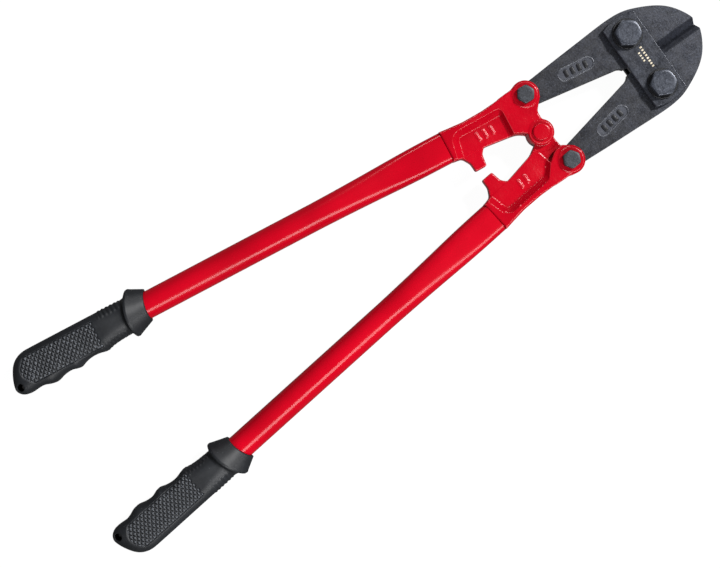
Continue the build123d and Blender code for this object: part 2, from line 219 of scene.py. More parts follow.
def settle(field, points, step):
    """Moves each point onto the field's zero by a few damped Newton steps."""
    eps = 0.05
    for _ in range(3):
        px, py, pz = points.T
        here = field(px, py, pz)
        slope = np.stack([
            field(px + eps, py, pz) - field(px - eps, py, pz),
            field(px, py + eps, pz) - field(px, py - eps, pz),
            field(px, py, pz + eps) - field(px, py, pz - eps),
        ], 1) / (2 * eps)
        size = np.maximum((slope ** 2).sum(1), 0.2)
        move = slope * (here / size)[:, None] * 0.8
        length = np.linalg.norm(move, axis=1)
        move *= np.minimum(1.0, 0.45 * step / np.maximum(length, 1e-9))[:, None]
        points = points - move
    return points


def turned(points, degrees, cx=0.0, cy=0.0):
    """Points turned about a vertical line through (cx, cy)."""
    a = math.radians(degrees)
    x, y = points[:, 0] - cx, points[:, 1] - cy
    out = points.copy()
    out[:, 0] = cx + x * math.cos(a) - y * math.sin(a)
    out[:, 1] = cy + x * math.sin(a) + y * math.cos(a)
    return out


def on_handle(points, side, swing=0.0):
    """Points of the left handle frame taken to the left or right handle at rest."""
    placed = turned(points, swing, SEAM_X, TUBE_AXIS_Y) if swing else points
    placed = turned(placed, -REST_SPLAY)
    placed[:, 1] *= side
    return placed


def add_mesh(name, points, faces, flip=False, smooth=True):
    """An object from points in millimetres in the mechanism frame."""
    placed = (np.asarray(points, float) + np.array(SHIFT)) / 1000.0
    faces = np.asarray(faces)
    if flip:
        faces = faces[:, ::-1]
    mesh = bpy.data.meshes.new(name)
    sides = faces.shape[1]
    mesh.vertices.add(len(placed))
    mesh.vertices.foreach_set("co", placed.astype(np.float32).ravel())
    mesh.loops.add(faces.size)
    mesh.loops.foreach_set("vertex_index", faces.astype(np.int32).ravel())
    mesh.polygons.add(len(faces))
    mesh.polygons.foreach_set("loop_start", np.arange(0, faces.size, sides, dtype=np.int32))
    mesh.update(calc_edges=True)
    mesh.validate()
    mesh.polygons.foreach_set("use_smooth", [smooth] * len(mesh.polygons))
    piece = bpy.data.objects.new(name, mesh)
    bpy.context.scene.collection.objects.link(piece)
    return piece


# ------------------------------------------------------------ castings

RIM = rounded_polygon([
    (SEAM_X, 11.3, 0), (-63.0, 10.6, 12), (-44.0, 10.4, 20), (-12.0, 7.0, 0),
    (-9.0, 34.0, 0), (-10.0, 38.9, 0), (-22.0, 37.1, 20), (-33.0, 35.8, 30),
    (-50.0, 35.2, 40), (-62.0, 36.1, 20), (SEAM_X, 36.9, 0),
])
POCKET = rounded_polygon([
    (-61.6, -14.0, 0), (-61.6, 9.0, 12), (-58.4, 25.6, 3.6), (20.0, 26.8, 0), (20.0, -14.0, 0),
])
BANK = 5.6
WEB = rounded_polygon([
    (-64.0, 30.0, 0), (-66.0, 11.0, 0), (-63.0, 10.4, 6), (-59.0, 4.0, 7),
    (-58.1, -3.5, 1.4), (-48.6, -3.2, 1.4), (-47.6, 6.0, 5), (-44.0, 10.7, 4.5),
    (-20.5, 8.9, 8), (-8.0, 3.2, 0), (-6.0, 30.0, 0),
])
FORK_CHEEK = rounded_polygon([
    (-19.0, 9.0, 1), (-12.6, 5.6, 6), (-8.5, 3.0, 0), (5.6, 3.0, 0), (4.9, 15.5, 5),
    (12.0, 25.0, 0), (4.0, 41.6, 0), (-10.0, 39.1, 20), (-19.0, 37.6, 2),
])
TONGUE_CHEEK = rounded_polygon([
    (-20.5, 31.5, 2), (-11.0, 22.6, 14), (-2.0, 17.6, 10), (4.9, 17.9, 2),
    (12.0, 25.0, 0), (4.0, 41.6, 0), (-10.0, 39.1, 20), (-20.5, 37.4, 2),
])
WAIST = rounded_polygon([
    (-20.0, 9.1, 0), (-12.6, 5.6, 6), (-9.0, 3.4, 0), (6.0, 3.4, 0), (5.0, 13.0, 5),
    (5.0, 20.0, 0), (-8.0, 24.0, 0), (-20.0, 30.0, 0),
])
BETWEEN = rounded_polygon([
    (-8.9, -20.0, 0), (30.0, -20.0, 0), (30.0, 40.0, 0), (TAIL_X - 6.0, 40.0, 0),
    (TAIL_X - 10.5, TAIL_Y, 0), (-11.3, 0.0, 0),
])
SWEPT = rounded_polygon([
    (TAIL_X - 2.0, TAIL_Y - 10.6, 0), (TAIL_X + 30.0, TAIL_Y - 10.6, 0),
    (TAIL_X + 30.0, TAIL_Y + 30.0, 0), (TAIL_X - 11.4, TAIL_Y + 30.0, 0),
    (TAIL_X - 10.9, TAIL_Y, 0),
])


def raised_bars(f, x, y, z, left, middle, count):
    """Plain bars on the web floor where a size mark would stand."""
    for index in range(count):
        cx = left + 6.0 * index
        lean = (x - cx) + 0.12 * (y - middle)
        d = np.hypot(lean, np.maximum(np.abs(y - middle) - 3.0, 0)) - 1.15
        f = join(f, extruded(d, z, WEB_HALF + 0.75, 0.6), 0.5)
    return f


def head_body(cheek, fillet, wall_run, thinning, x, y, z):
    """Flange and cheek in one, with a sunk panel banked up to both."""
    cheek_edge = polygon_field(cheek, x, y)
    plan = join(polygon_field(RIM, x, y), cheek_edge, 1.0)
    height = RIM_HALF + (EAR_HALF - RIM_HALF) * step_up(x, -73.0, -50.0)
    soft = 2.1 - 0.9 * step_up(x, -42.0, -18.0)
    solid = extruded(plan, z, height, soft)
    pocket_edge = polygon_field(POCKET, x, y)
    bank = np.maximum(pocket_edge, 0) / BANK
    wall = 1.0 - join(cheek_edge, BANK - pocket_edge, fillet) / wall_run
    climb = -join(-bank, -wall, 0.3)
    floor_z = WEB_HALF - thinning * step_up(x, -28.0, -13.5)
    sunk = (np.abs(z) - floor_z - (height - floor_z) * climb) * 0.85
    body = common(solid, sunk, 0.6)
    web = extruded(polygon_field(WEB, x, y), z, floor_z, 1.3)
    body = join(body, web, 0.8)
    spigot_plan = np.maximum(np.abs(x + 71.0) - 4.0, np.abs(y - TUBE_AXIS_Y) - 9.6)
    body = np.minimum(body, extruded(spigot_plan, z, 6.6, 2.0))
    ear = extruded(disc(x, y, TAIL_X, TAIL_Y, EAR_R), z, EAR_HALF, 1.7)
    boss = extruded(disc(x, y, TAIL_X, TAIL_Y, 9.9), z, 13.0, 0.6)
    return join(body, join(ear, boss, 0.7), 1.0)


def swept_slot(x, y):
    """Plan of the slot that the blade's tail turns in."""
    return np.minimum(polygon_field(SWEPT, x, y), disc(x, y, TAIL_X, TAIL_Y, 10.7))


def drilled(body, x, y, z, centre_r):
    """The body with the centre hole and the tail bolt's hole through it."""
    body = cut(body, disc(x, y, 0, 0, centre_r) + 0 * z, 0.3)
    return cut(body, disc(x, y, TAIL_X, TAIL_Y, TAIL_HOLE_R) + 0 * z, 0.3)


def fork_field(x, y, z):
    """The left casting, with an ear above and below the tongue."""
    body = head_body(FORK_CHEEK, 5.5, 2.6, 0.0, x, y, z)
    ear = extruded(disc(x, y, 0, 0, HUB_R), z, EAR_HALF, 1.2)
    boss = extruded(disc(x, y, 0, 0, 9.2), z, 12.8, 0.6)
    body = join(body, join(ear, boss, 0.7), 1.2)
    open_part = np.minimum(polygon_field(BETWEEN, x, y), disc(x, y, 0, 0, 14.1))
    open_part = np.minimum(open_part, swept_slot(x, y))
    body = cut(body, extruded(open_part, z, SLOT_HALF, 0.3), 0.4)
    body = drilled(body, x, y, z, RIVET_HOLE_R)
    return raised_bars(body, x, y, z, -44.6, 19.6, 3)


def tongue_field(x, y, z):
    """The right casting, drawn for the left side, with the middle tongue."""
    body = head_body(TONGUE_CHEEK, 2.0, 3.8, 0.5, x, y, z)
    waist = extruded(polygon_field(WAIST, x, y), z, TONGUE_HALF, 0.8)
    body = np.minimum(body, waist)
    above = np.maximum(disc(x, y, 0, 0, 14.2), TONGUE_HALF - np.abs(z))
    body = cut(body, above, 1.6)
    eye = extruded(disc(x, y, 0, 0, HUB_R), z, TONGUE_HALF, 0.6)
    body = join(body, eye, 0.5)
    body = cut(body, extruded(swept_slot(x, y), z, SLOT_HALF, 0.3), 0.4)
    body = drilled(body, x, y, z, TONGUE_HOLE_R)
    return raised_bars(body, x, y, z, -38.5, 18.6, 2)


def casting(name, field, side):
    points, faces = surface(field, (-76.0, -12.5, -14.0), (17.0, 44.5, 14.0), FINE)
    return add_mesh(name, on_handle(points, side), faces, flip=side < 0)


# ------------------------------------------------------------ bolts


THREAD_PITCH = 1.75
THREAD_DEPTH = 0.22


def hexagon(across, turn, radius):
    """Outline of a hexagon of a size across the flats, with rounded corners."""
    reach = across / math.sqrt(3.0)
    corners = []
    for index in range(6):
        angle = math.radians(turn + 60.0 * index)
        corners.append((reach * math.cos(angle), reach * math.sin(angle), radius))
    return rounded_polygon(corners, 5)


def bolt(name, at, side, across, turn, seat, tall, shank, low, radius):
    """A forged hexagon bolt: rounded corners, a coned top and a threaded end."""
    plan = hexagon(across, turn, radius)
    top = seat + tall
    flat_r = across * 0.5

    def field(x, y, z):
        rho = np.hypot(x, y)
        head = extruded(polygon_field(plan, x, y), z - (seat + tall / 2), tall / 2, 0.35)
        cone = (rho - flat_r) * 0.5 + (z - top) * 0.87
        head = common(head, cone, 0.8)
        stem = extruded(rho - shank, z - (low + seat + 1.0) / 2, (seat + 1.0 - low) / 2, 0.7)
        along = z + np.arctan2(y, x) / (2 * np.pi) * THREAD_PITCH
        ridge = THREAD_DEPTH * np.abs(np.sin(np.pi * along / THREAD_PITCH))
        stem = stem + ridge * (1 - step_up(z, -13.5, -12.5))
        return join(head, stem, 0.3)

    wide = across * 0.62
    points, faces = surface(field, (-wide, -wide, low - 1.2), (wide, wide, top + 1.2), FINE * 0.8)
    points[:, 0] += at[0]
    points[:, 1] = (points[:, 1] + at[1]) * side
    return add_mesh(name, points, faces, flip=side < 0)


# ------------------------------------------------------------ grips

# (distance from the mouth, offset from the tube axis), outer side first
GRIP_SIDE = [
    (8.0, 13.2), (22.0, 13.4), (40.0, 13.4), (70.0, 13.4), (97.0, 13.4), (102.5, 13.2),
    (107.0, 12.0), (111.5, 9.6), (115.0, 6.0), (117.6, 1.6), (119.8, -3.4), (121.2, -8.2),
    (121.6, -12.0), (119.6, -15.6), (115.6, -18.0), (111.0, -18.4), (104.0, -17.2),
    (98.5, -17.9), (94.0, -19.6), (91.0, -20.0), (88.0, -19.4), (84.0, -17.8), (78.0, -16.9),
    (73.5, -17.6), (70.5, -18.7), (68.0, -18.6), (64.5, -16.9), (60.0, -15.7), (55.0, -15.3),
    (50.0, -15.9), (46.5, -16.9), (43.5, -16.5), (39.5, -15.2), (34.0, -14.4), (27.0, -14.0),
    (18.0, -13.6), (8.0, -13.2),
]
GRIP_LINE = smooth_curve(GRIP_SIDE, 2)
COLLAR = rounded_polygon([
    (0.0, -2.0, 0), (0.0, 12.5, 0.5), (10.6, 17.4, 2.5), (12.6, 18.5, 1.4), (14.6, 18.3, 1.2),
    (17.6, 14.2, 2.0), (22.0, 12.0, 0), (22.0, -2.0, 0),
], 5)


KNURL_ALONG = 3.85
KNURL_ACROSS = 4.88
HANG_HOLE = (116.0, -11.4)


def knurl_mask(s, o):
    """One inside the outline of the knurled panel, falling to zero at its edge."""
    near = step_up(s + 1.5 * np.abs(np.sin(np.pi * o / KNURL_ACROSS)), 44.5, 46.5)
    far = 1 - step_up(s + 0.055 * (o + 2.5) ** 2, 109.0, 111.5)
    low = step_up(o, -13.8, -12.4)
    high = 1 - step_up(o, 7.6, 9.0)
    return near * far * low * high


def knurl_patch():
    """The diamond pattern of the upper face, as a fine grid over the recess."""
    step = 0.24
    along, across = np.arange(42.0, 113.5, step), np.arange(-15.0, 10.5, step)
    s, o = np.meshgrid(along, across, indexing="ij")
    low = np.zeros_like(s)
    high = np.full_like(s, 17.0)
    for _ in range(14):
        middle = (low + high) / 2
        outside = grip_body(s, o, middle) > 0
        high = np.where(outside, middle, high)
        low = np.where(outside, low, middle)
    mask = knurl_mask(s, o)
    p = np.pi * (s / KNURL_ALONG + o / KNURL_ACROSS)
    q = np.pi * (s / KNURL_ALONG - o / KNURL_ACROSS)
    lumps = np.minimum(np.abs(np.cos(p)), np.abs(np.cos(q)))
    z = low - 0.6 + 1.2 * lumps * mask - 0.5 * (1 - mask)
    number = np.arange(s.size).reshape(s.shape)
    ring = [number[:-1, :-1], number[1:, :-1], number[1:, 1:], number[:-1, 1:]]
    quads = np.stack(ring, -1).reshape(-1, 4)
    quads = quads[mask.ravel()[quads].max(1) > 0.02]
    used, quads = np.unique(quads, return_inverse=True)
    points = np.stack([s.ravel(), o.ravel(), z.ravel()], 1)[used]
    return points, quads.reshape(-1, 4)


def ribs(s, o, z):
    """Small teeth along both narrow sides behind the collar."""
    outer = step_up(o, 6.0, 9.0) * step_up(s, 18.0, 20.0) * (1 - step_up(s, 36.0, 39.0))
    inner = step_up(-o, 9.0, 11.0) * step_up(s, 20.0, 22.0) * (1 - step_up(s, 44.0, 47.0))
    lean = 0.25 * z
    a = np.abs(np.sin(np.pi * (s + lean) / 3.6)) ** 1.5
    b = np.abs(np.sin(np.pi * (s + 0.5 * z) / 3.0)) * np.abs(np.sin(np.pi * (s - 0.5 * z) / 3.0))
    return outer * a + 0.8 * inner * b


def grip_body(s, o, z):
    """The plain handgrip: s from the mouth, o outward from the tube's axis."""
    half = 14.9 - 3.0 * step_up(s, 98.0, 124.0) - 1.3 * (1 - step_up(s, 14.0, 40.0))
    soft = 12.8 - 3.6 * step_up(s, 20.0, 46.0)
    return extruded(polygon_field(GRIP_LINE, s, o), z, half, soft)


def grip_field(s, o, z):
    """The whole moulding: handgrip, sloped collar, tube's bore and hanging hole."""
    rho = np.hypot(o, z)
    slant = s + o * math.tan(math.radians(11.5)) - 2.8 * (z / 16.0) ** 2
    collar = polygon_field(COLLAR, slant, rho) * 0.95
    recess = knurl_mask(s, o) * step_up(np.abs(z), 8.5, 10.5)
    body = grip_body(s, o, z) + 1.0 * recess - 0.6 * ribs(s, o, z)
    body = join(body, collar, 1.4)
    bore = np.maximum(rho - 10.95, s - 12.0)
    body = cut(body, bore, 0.6)
    bore_r = 1.5 + 1.55 * step_up(z, -3.0, 2.0)
    hole = (np.hypot(s - HANG_HOLE[0], o - HANG_HOLE[1]) - bore_r) * 0.9
    return cut(body, hole, 0.7)


def grips():
    """Both grips, each a moulding and its two knurled patches."""
    points, faces = surface(grip_field, (-6.0, -22.0, -20.0), (124.0, 21.0, 20.0), FINE * 1.07)
    patch, quads = knurl_patch()
    under = patch * np.array((1.0, 1.0, -1.0))
    quads = np.concatenate([quads, quads[:, ::-1] + len(patch)])
    patch = np.concatenate([patch, under])
    made = []
    for hand, side, mouth, swing in SIDES:
        for kind, shape, skin in (("moulding", points, faces), ("knurl", patch, quads)):
            placed = shape.copy()
            placed[:, 0] = mouth - shape[:, 0]
            placed[:, 1] = TUBE_AXIS_Y + shape[:, 1]
            placed = on_handle(placed, side, swing)
            piece = add_mesh(hand + "_grip_" + kind, placed, skin, flip=side > 0)
            made.append((hand, kind, piece))
    return made


# ------------------------------------------------------------ tubes

# (x in the handle frame, half width, half height, power of the rounded section)
TUBE_SECTIONS = np.array([
    (-70.1, 12.7, 9.4, 3.8), (-90.0, 12.75, 9.4, 3.5), (-106.0, 12.5, 9.5, 3.1),
    (-122.0, 12.0, 9.8, 2.7), (-142.0, 11.4, 10.2, 2.35), (-162.0, 10.95, 10.5, 2.15),
    (-182.0, 10.65, 10.65, 2.0), (-430.0, 10.65, 10.65, 2.0),
])


TUBE_WALL = 2.0
TUBE_SIDES = 120


def tube(hand, side, swing):
    """A handle tube: squarish at the seam, round from the middle on."""
    count = TUBE_SIDES
    tapered = np.arange(-70.1, -190.0, -2.0)
    xs = np.concatenate([tapered, (-210.0, -250.0, -300.0, -350.0, -400.0, -430.0)])
    stations = TUBE_SECTIONS[::-1]
    values = []
    for column in (1, 2, 3):
        shifted = [np.interp(xs + offset, stations[:, 0], stations[:, column])
                   for offset in np.linspace(-8.0, 8.0, 9)]
        values.append(np.mean(shifted, axis=0))
    rings = list(zip(xs, *values))
    rings = rings + [(x, a - TUBE_WALL, b - TUBE_WALL, p) for x, a, b, p in rings[::-1]]
    points = []
    for x, a, b, p in rings:
        for i in range(count):
            turn = 2 * math.pi * i / count
            c, d = math.cos(turn), math.sin(turn)
            reach = (abs(c / a) ** p + abs(d / b) ** p) ** (-1.0 / p)
            points.append((x, TUBE_AXIS_Y + reach * c, reach * d))
    faces = []
    for r in range(len(rings)):
        q = (r + 1) % len(rings)
        for i in range(count):
            j = (i + 1) % count
            faces.append((r * count + i, r * count + j, q * count + j, q * count + i))
    placed = on_handle(np.array(points), side, swing)
    piece = add_mesh(hand + "_tube_drawn", placed, np.array(faces), flip=side > 0)
    sharp_ends = piece.modifiers.new("crisp_ends", "EDGE_SPLIT")
    sharp_ends.split_angle = math.radians(50.0)
    return piece


# ------------------------------------------------------------ plain marks


def pads(name, places, base, side=1):
    """Low rounded pads; each place is centre x, y, width, height, turn, corner."""
    points = []
    faces = []
    for cx, cy, wide, tall, turn, corner in places:
        first = len(points)
        ring = rounded_polygon([
            (-wide / 2, -tall / 2, corner), (wide / 2, -tall / 2, corner),
            (wide / 2, tall / 2, corner), (-wide / 2, tall / 2, corner),
        ], 4)
        count = len(ring)
        a = math.radians(turn)
        for shrink, height in ((1.0, -0.02), (1.0, 0.07), (0.8, 0.13), (0.02, 0.14)):
            for px, py in ring * shrink:
                x = cx + px * math.cos(a) - py * math.sin(a)
                y = cy + px * math.sin(a) + py * math.cos(a)
                points.append((x, y * side, base + height))
        for layer in range(3):
            for i in range(count):
                j = (i + 1) % count
                a0 = first + layer * count
                faces.append((a0 + i, a0 + j, a0 + count + j, a0 + count + i))
    return add_mesh(name, np.array(points), np.array(faces), flip=side < 0)


def plate_marks():
    """Two rows of plain pads of paint on the top clamp plate."""
    places = [(100.3 - 0.04 * i, 9.0 - 2.45 * i, 1.9, 1.4, 0, 0.4) for i in range(8)]
    places += [(96.7, 6.0 - 2.3 * i, 1.7, 1.3, 0, 0.4) for i in range(4)]
    return pads("plate_marks", places, PLATE_TOP)


def mark_bars(name, side):
    """Dark rounded caps on the four bars of a blade's mark panel."""
    a = math.radians(MARK_TURN)
    places = []
    for i in range(4):
        along = -8.25 + 5.5 * i
        cx = MARK_CENTRE[0] + along * math.cos(a)
        cy = MARK_CENTRE[1] + along * math.sin(a)
        places.append((cx, cy, 3.0, 6.4, MARK_TURN, 1.4))
    return pads(name, places, BLADE_HALF, side)


def mark_rim(name, side):
    """The low ridge round the obround mark panel of a blade."""
    section = ((-0.55, -0.05), (-0.35, 0.2), (0.0, 0.3), (0.35, 0.2), (0.55, -0.05))
    turn = math.radians(MARK_TURN)
    count = 72
    ring = []
    for i in range(count):
        a = 2 * math.pi * i / count
        ring.append((math.copysign(10.0, math.cos(a)), math.cos(a), math.sin(a)))
    points = []
    for mx, ux, uy in ring:
        for out, up in section:
            px = mx + ux * (4.95 + out)
            py = uy * (4.95 + out)
            x = MARK_CENTRE[0] + px * math.cos(turn) - py * math.sin(turn)
            y = MARK_CENTRE[1] + px * math.sin(turn) + py * math.cos(turn)
            points.append((x, y * side, BLADE_HALF + up))
    faces = []
    for i in range(count):
        k = (i + 1) % count
        for j in range(4):
            faces.append((5 * i + j, 5 * i + j + 1, 5 * k + j + 1, 5 * k + j))
    return add_mesh(name, np.array(points), np.array(faces), flip=side < 0)


def edge_land():
    """The narrow flat where the two cutting edges meet."""
    stations = [(97.5, 0.2), (110.0, 0.26), (130.0, 0.26), (146.6, 0.2)]
    points = []
    faces = []
    for x, tall in stations:
        for y, z in ((-0.055, -tall), (0.06, -tall - 0.05), (0.06, tall + 0.05), (-0.055, tall)):
            points.append((x, y, z))
    for i in range(len(stations) - 1):
        for j in range(4):
            k = (j + 1) % 4
            faces.append((4 * i + j, 4 * i + k, 4 * i + 4 + k, 4 * i + 4 + j))
    faces.append((3, 2, 1, 0))
    last = 4 * len(stations) - 4
    faces.append((last, last + 1, last + 2, last + 3))
    return add_mesh("cutting_edge_land", np.array(points), np.array(faces), flip=True, smooth=False)


# ------------------------------------------------------------ materials


class Nodes:
    """Short helper that adds and links nodes of one material."""

    def __init__(self, name):
        self.mat = bpy.data.materials.new(name)
        self.mat.use_nodes = True
        self.tree = self.mat.node_tree
        self.shader = self.tree.nodes["Principled BSDF"]
        self.where = self.add("ShaderNodeTexCoord").outputs["Object"]

    def add(self, kind, **inputs):
        node = self.tree.nodes.new(kind)
        for key, value in inputs.items():
            self.put(node.inputs[key.replace("_", " ")], value)
        return node

    def put(self, socket, value):
        """Links an output to a socket, or sets a plain value on it."""
        if isinstance(value, bpy.types.NodeSocket):
            self.tree.links.new(value, socket)
        else:
            socket.default_value = value

    def set(self, **inputs):
        """Links or sets the shader's own inputs."""
        for key, value in inputs.items():
            self.put(self.shader.inputs[key.replace("_", " ")], value)

    def noise(self, scale, detail=3.0, roughness=0.55, stretch=None):
        """Noise in the object's space; stretch is (turn about z, x scale, y scale)."""
        where = self.where
        if stretch:
            mapping = self.add("ShaderNodeMapping", Vector=where)
            mapping.inputs["Rotation"].default_value = (0, 0, stretch[0])
            mapping.inputs["Scale"].default_value = (stretch[1], stretch[2], 1.0)
            where = mapping.outputs[0]
        node = self.add(
            "ShaderNodeTexNoise", Vector=where, Scale=scale, Detail=detail, Roughness=roughness
        )
        return node.outputs[0]

    def ramp(self, factor, stops):
        """A colour ramp; stops are (place, (red, green, blue))."""
        node = self.add("ShaderNodeValToRGB", Fac=factor)
        band = node.color_ramp
        while len(band.elements) < len(stops):
            band.elements.new(0.5)
        for element, (place, colour) in zip(band.elements, stops):
            element.position = place
            element.color = tuple(colour) + (1.0,)
        return node.outputs[0]

    def level(self, factor, low, high, start=0.3, stop=0.7):
        """Low at start and high at stop, straight between them."""
        node = self.add("ShaderNodeMapRange")
        self.put(node.inputs[0], factor)
        for index, value in ((1, start), (2, stop), (3, low), (4, high)):
            node.inputs[index].default_value = value
        return node.outputs[0]

    def mix(self, factor, a, b):
        node = self.add("ShaderNodeMix")
        node.data_type = "RGBA"
        self.put(node.inputs[0], factor)
        self.put(node.inputs[6], a)
        self.put(node.inputs[7], b)
        return node.outputs[2]

    def bump(self, height, distance, strength=1.0, normal=None):
        node = self.add("ShaderNodeBump", Height=height, Distance=distance, Strength=strength)
        if normal is not None:
            self.put(node.inputs["Normal"], normal)
        return node.outputs[0]

    def crease(self, low, high):
        """Zero on hollow creases, one on raised edges."""
        bend = self.add("ShaderNodeNewGeometry").outputs["Pointiness"]
        return self.level(bend, 0.0, 1.0, low, high)

    def soft_edge(self, radius):
        """A normal that rounds sharp edges by a radius in metres."""
        node = self.add("ShaderNodeBevel", Radius=radius)
        node.samples = 6
        return node.outputs[0]


# Pale pink painted on convex edges as a painted highlight, standing in for light caught by rounded
# edges.
EDGE_HIGHLIGHT_RED = (0.78, 0.17, 0.19, 1.0)
# Deep red painted into concave creases as painted shade.
CREASE_SHADE_RED = (0.16, 0.0, 0.003, 1.0)
PANEL_STEEL = (0.052, 0.056, 0.07, 1.0)


def enamel(name, grain, rough, depth):
    """Red enamel; grain is how rough the metal under it is, depth how bright it is."""
    n = Nodes(name)
    drift = n.noise(22.0, 4.0)
    shades = ((0.3, 0.4, 0.008), (0.55, 0.47, 0.0095), (0.75, 0.52, 0.011))
    red = n.ramp(drift, [(place, (r * depth, 0.0, b * depth)) for place, r, b in shades])
    if grain:
        # Painted highlight: convex edges are tinted pale pink.
        red = n.mix(n.level(n.crease(0.518, 0.59), 0.0, 0.85, 0.0, 1.0), red, EDGE_HIGHLIGHT_RED)
        # Painted shade: concave creases are darkened to deep red.
        red = n.mix(n.level(n.crease(0.4, 0.48), 0.6, 0.0, 0.0, 1.0), red, CREASE_SHADE_RED)
        first = n.bump(n.noise(330.0, 2.0), 0.00016 * grain, 0.8, n.soft_edge(0.0006))
        n.set(Normal=n.bump(n.noise(1300.0, 3.0, 0.65), 0.00005 * grain, 0.7, first))
    # Fine variation would break the long highlight of a smooth tube into dots.
    gloss = n.noise(90.0, 5.0) if grain else n.noise(14.0, 1.0)
    n.set(Base_Color=red, Roughness=n.level(gloss, rough - 0.04, rough + 0.07))
    n.shader.inputs["Specular IOR Level"].default_value = 0.22
    return n.mat


def steel(name, dark, light, rough, edge=0.0004, brushed=None, along=None, sunk=None):
    """Black oxide on forged or rolled steel: mottled, speckled and worn a little.

    edge is the radius that sharp edges are softened by, brushed the direction of
    its fine lines, along the range of x over which it grows lighter, and sunk the
    height of a panel floor with a shade of its own.
    """
    n = Nodes(name)
    patches = n.noise(110.0, 6.0, 0.7)
    specks = n.noise(640.0, 3.0, 0.65)
    dust = n.noise(900.0, 2.0, 0.6)
    if along is not None:
        split = n.add("ShaderNodeSeparateXYZ", Vector=n.where)
        rise = n.level(split.outputs[0], 0.0, 0.45, along[0], along[1])
        total = n.add("ShaderNodeMath")
        total.operation = "ADD"
        n.put(total.inputs[0], n.level(patches, 0.0, 0.55, 0.3, 0.7))
        n.put(total.inputs[1], rise)
        patches = total.outputs[0]
        colour = n.ramp(patches, [(0.0, dark), (1.0, light)])
    else:
        colour = n.ramp(patches, [(0.3, dark), (0.7, light)])
    deep = tuple(c * 0.45 for c in dark)
    bright = tuple(min(1.0, c * 2.3) for c in light)
    colour = n.mix(n.level(specks, 0.55, 0.0, 0.38, 0.56), colour, deep + (1.0,))
    colour = n.mix(n.level(dust, 0.0, 0.55, 0.56, 0.74), colour, bright + (1.0,))
    if sunk is not None:
        height = n.add("ShaderNodeSeparateXYZ", Vector=n.where).outputs[2]
        band = n.add("ShaderNodeMath")
        band.operation = "MULTIPLY"
        n.put(band.inputs[0], n.level(height, 0.0, 0.8, sunk - 0.0001, sunk - 0.00005))
        n.put(band.inputs[1], n.level(height, 1.0, 0.0, sunk + 0.0001, sunk + 0.0003))
        colour = n.mix(band.outputs[0], colour, PANEL_STEEL)
    base = n.soft_edge(edge)
    if brushed is not None:
        lines = n.noise(60.0, 3.0, 0.6, stretch=(brushed, 1.2, 34.0))
        base = n.bump(lines, 0.00004, 0.5, base)
    base = n.bump(n.noise(600.0, 5.0, 0.65), 0.00014, 0.7, base)
    n.set(Base_Color=colour, Metallic=0.4, Normal=base)
    n.set(Roughness=n.level(n.noise(160.0, 4.0), rough - 0.06, rough + 0.1))
    return n.mat


def rubber(name, knurled):
    """Matt black rubber, a little dusty, with painted highlights on raised edges and the knurl's
    points, and painted shade in its creases.
    """
    n = Nodes(name)
    drift = n.noise(45.0, 4.0)
    colour = n.ramp(drift, [(0.3, (0.0065, 0.0072, 0.0085)), (0.7, (0.0105, 0.0117, 0.014))])
    dust = n.level(n.noise(320.0, 5.0, 0.7), 0.0, 0.3, 0.5, 0.8)
    colour = n.mix(dust, colour, (0.026, 0.028, 0.033, 1.0))
    if knurled:
        # Painted highlight: the knurl's points are tinted pale grey.
        colour = n.mix(n.crease(0.51, 0.57), colour, (0.1, 0.108, 0.122, 1.0))
    else:
        # Painted highlight: raised edges are tinted a paler grey.
        edge_highlight_mix = n.level(n.crease(0.54, 0.62), 0.0, 0.5, 0.0, 1.0)
        colour = n.mix(edge_highlight_mix, colour, (0.04, 0.043, 0.05, 1.0))
    # Painted shade: creases and the knurl's grooves are darkened to near black.
    hollow = n.level(n.crease(0.43, 0.49), 1.0, 0.0, 0.0, 1.0)
    colour = n.mix(hollow, colour, (0.001, 0.001, 0.001, 1.0))
    normal = n.bump(n.noise(1400.0, 3.0, 0.6), 0.00006, 0.7)
    n.set(Base_Color=colour, Normal=normal, Roughness=n.level(n.noise(60.0, 4.0), 0.42, 0.55))
    n.shader.inputs["Specular IOR Level"].default_value = 0.27
    return n.mat


def cream_paint():
    """Worn cream paint of the plate's marks."""
    n = Nodes("mark_paint")
    worn = n.noise(900.0, 4.0, 0.7)
    colour = n.ramp(worn, [(0.35, (0.33, 0.26, 0.16)), (0.6, (0.66, 0.6, 0.47))])
    n.set(Base_Color=colour, Normal=n.bump(worn, 0.00005, 0.8), Roughness=n.level(worn, 0.35, 0.6))
    return n.mat


def table_top():
    """A pale table that glows faintly, so its shadows stay soft."""
    n = Nodes("table_top")
    colour = n.ramp(n.noise(3.0, 2.0), [(0.3, (0.036, 0.036, 0.037)), (0.7, (0.04, 0.04, 0.04))])
    n.set(Base_Color=colour, Roughness=n.level(n.noise(8.0), 0.7, 0.8))
    n.shader.inputs["Specular IOR Level"].default_value = 0.0
    n.shader.inputs["Emission Color"].default_value = (1.0, 1.0, 1.0, 1.0)
    n.shader.inputs["Emission Strength"].default_value = 0.975
    return n.mat


def paint(piece, mat):
    """Gives a drawn piece its material."""
    piece.data.materials.clear()
    piece.data.materials.append(mat)


def paint_node(piece, mat):
    """Gives a CAD node its material through its object's slots."""
    for place in piece.material_slots:
        place.link = "OBJECT"
        place.material = mat


# ------------------------------------------------------------ the object

casting_red = enamel("casting_enamel", 1.7, 0.2, 0.7)
tube_red = enamel("tube_enamel", 0.0, 0.17, 0.75)
blade_steel = steel(
    "blade_steel", (0.015, 0.015, 0.017), (0.032, 0.036, 0.05), 0.34,
    edge=0.0004, brushed=0.0, along=(0.2, 0.29), sunk=0.02605,
)
